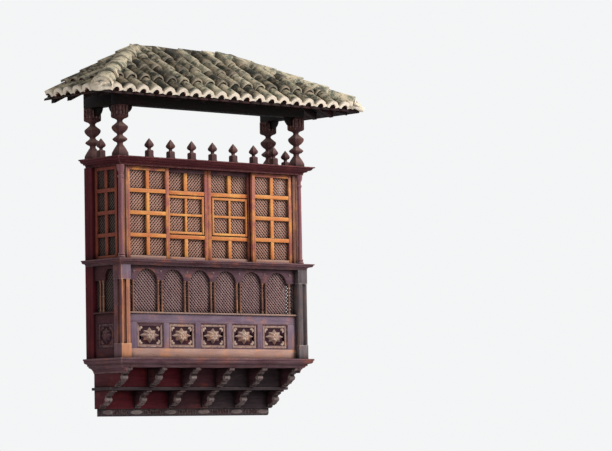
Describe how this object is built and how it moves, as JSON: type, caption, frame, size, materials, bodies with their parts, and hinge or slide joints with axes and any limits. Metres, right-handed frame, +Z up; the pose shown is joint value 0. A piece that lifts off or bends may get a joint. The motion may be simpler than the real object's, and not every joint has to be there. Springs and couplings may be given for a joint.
{
  "type": "enclosed timber balcony",
  "caption": "Wall-hung timber balcony with corbelled base, panelled and arcaded parapet, lattice screens, turned roof posts and a hipped clay tile canopy.",
  "frame": {"origin": "middle of the back face of the bottom wall beam, in the plane of the wall", "axes": "+X along the wall to the right seen from outside, +Y into the wall, +Z up"},
  "size_m": [4.06, 1.07, 4.3761],
  "materials": {
    "base_timber": "weathered oxblood stain",
    "corbel_timber": "stained, noses worn to grey",
    "frame_timber": "weathered stain, mauve grey",
    "carved_timber": "carved, dry and worn",
    "leaf_timber": "honey coloured, sun worn",
    "lath_timber": "thin dark laths",
    "gallery_timber": "dark stain, dusty",
    "roof_timber": "dark stain",
    "clay_tile": "unglazed clay with lichen"
  },
  "bodies": {
    "root": {"wall_beam": "base_timber", "lower_back_boards": "base_timber", "upper_back_boards": "base_timber", "tier_ledge": "base_timber", "floor_boards": "base_timber", "base_cornice_front": "base_timber", "base_cornice_sides": "base_timber", "mid_cornice_front": "base_timber", "mid_cornice_sides": "base_timber", "cap_rail_front": "base_timber", "cap_rail_sides": "base_timber", "wall_posts": "base_timber", "lower_corbels": "corbel_timber", "upper_corbels": "corbel_timber", "lower_corner_posts": "frame_timber", "upper_corner_posts": "frame_timber", "parapet_frame_front": "frame_timber", "parapet_frames_side": "frame_timber", "parapet_shelf_front": "frame_timber", "parapet_shelves_side": "frame_timber", "colonnettes": "frame_timber", "arcade_board_front": "frame_timber", "arcade_boards_side": "frame_timber", "carved_panels": "carved_timber", "outer_leaf_frames": "leaf_timber", "middle_leaf_frames": "leaf_timber", "hatch_frames": "leaf_timber", "side_leaf_frames": "leaf_timber", "arcade_lattice_front": "lath_timber", "arcade_lattices_side": "lath_timber", "outer_leaf_lattices": "lath_timber", "middle_leaf_lattices": "lath_timber", "hatch_lattices": "lath_timber", "side_leaf_lattices": "lath_timber", "finials": "gallery_timber", "roof_posts": "gallery_timber", "post_brackets": "gallery_timber", "eave_beam_front": "gallery_timber", "eave_beams_side": "gallery_timber", "rafters": "roof_timber", "roof_boards_front": "roof_timber", "roof_boards_sides": "roof_timber", "wall_ledger": "roof_timber", "tiles_front": "clay_tile", "tiles_sides": "clay_tile", "hip_tiles": "clay_tile", "wall_tiles": "clay_tile"}
  },
  "joints": []
}
